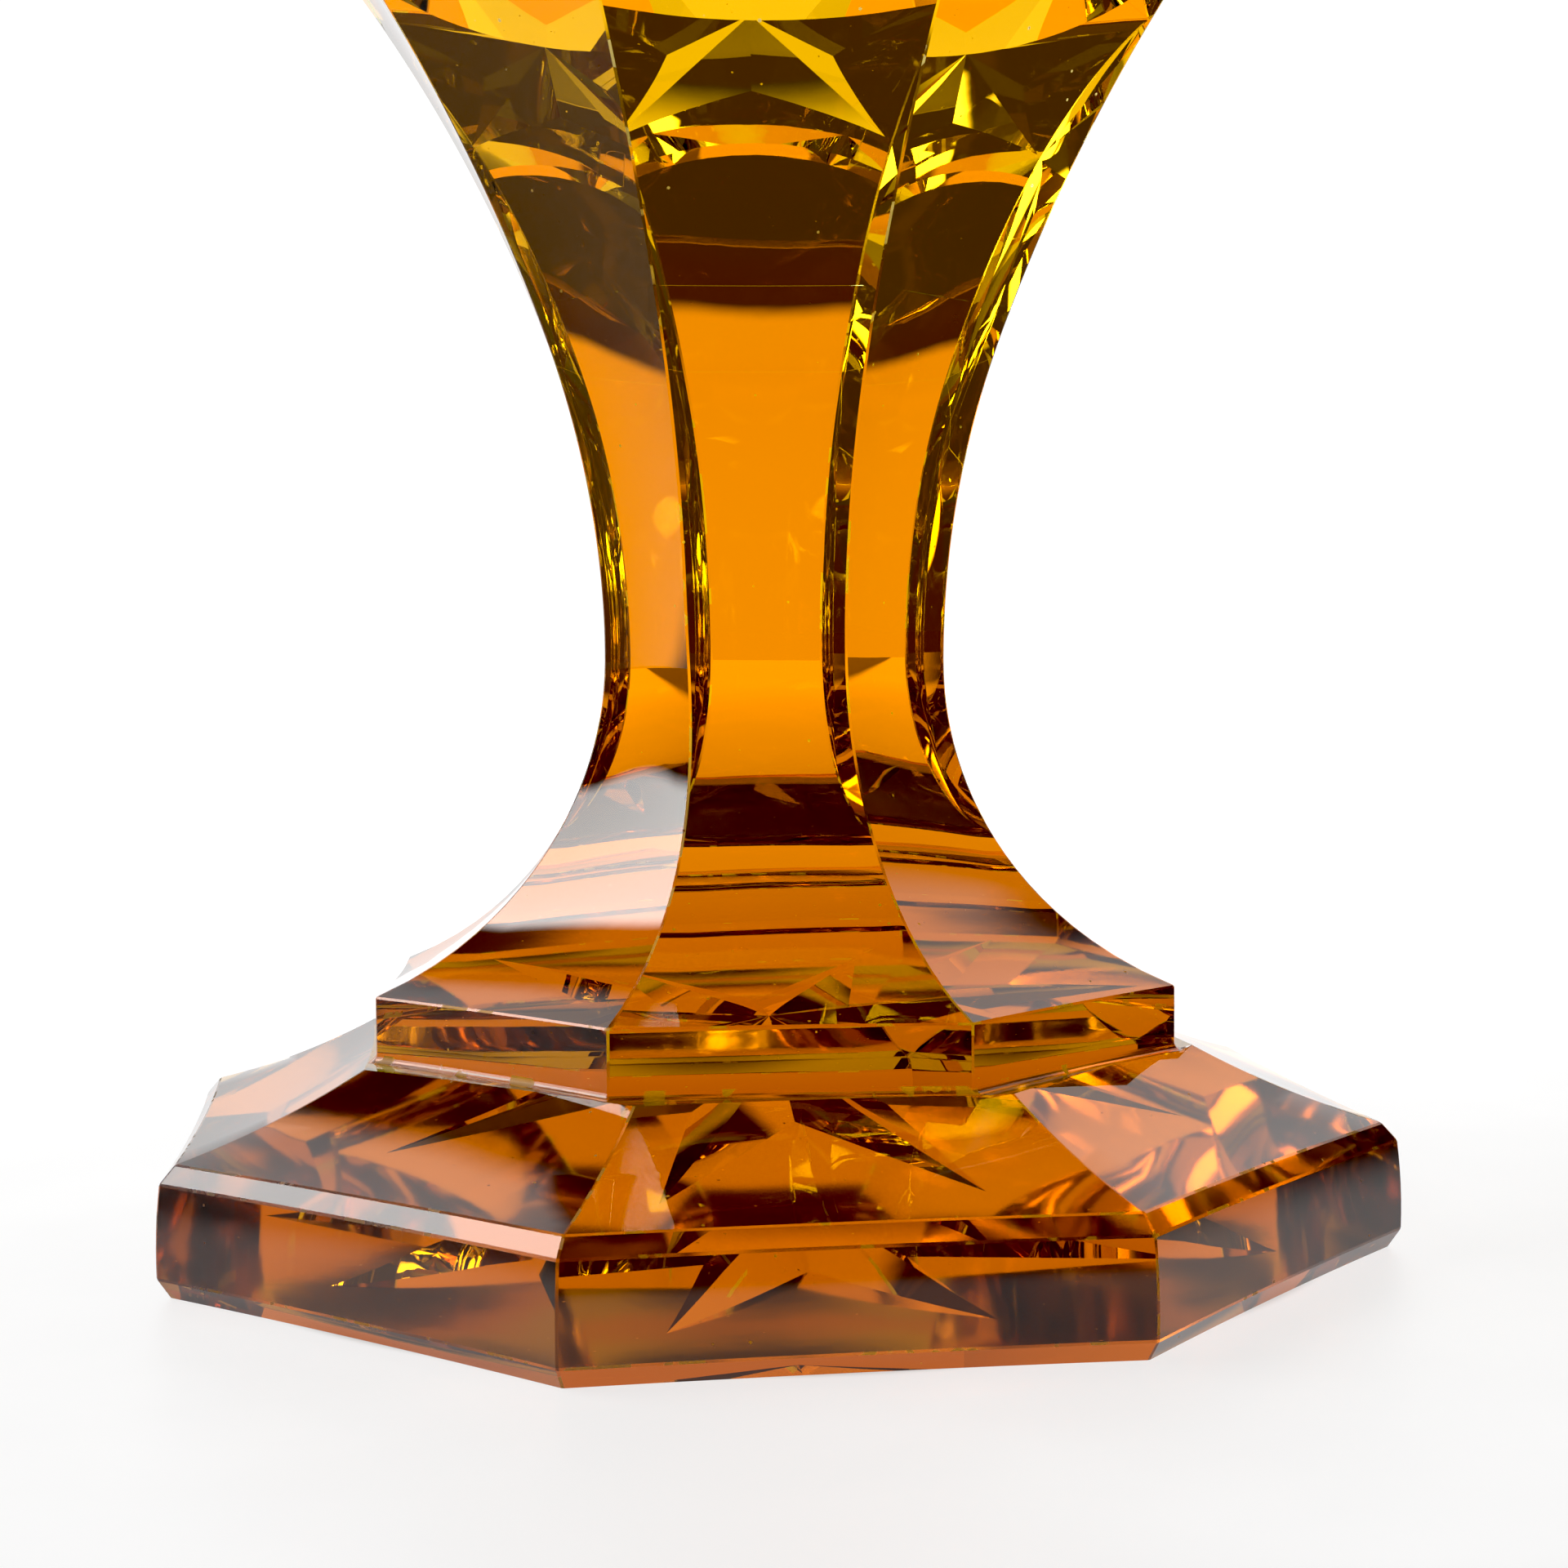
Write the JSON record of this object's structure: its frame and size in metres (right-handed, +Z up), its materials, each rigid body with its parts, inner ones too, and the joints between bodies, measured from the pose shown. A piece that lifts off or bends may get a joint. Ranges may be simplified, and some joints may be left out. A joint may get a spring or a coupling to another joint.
{
  "type": "glass candlestick",
  "caption": "Octagonal cut-glass candlestick with a stepped foot, a waisted column and a flared thick-walled cup with a level floor for a candle.",
  "frame": {"origin": "middle of the foot's underside, on the table", "axes": "+Z up along the column, -Y square to the front flat of the foot, +X to the right seen from the front"},
  "size_m": [0.0992, 0.0992, 0.118],
  "materials": {
    "foot_glass": "ground and polished glass stained amber, star cut below",
    "column_glass": "ground and polished glass stained amber",
    "cup_glass": "amber-stained glass with star cuts"
  },
  "bodies": {
    "root": {"foot_plate": "foot_glass", "column": "column_glass", "candle_cup": "cup_glass"}
  },
  "joints": []
}
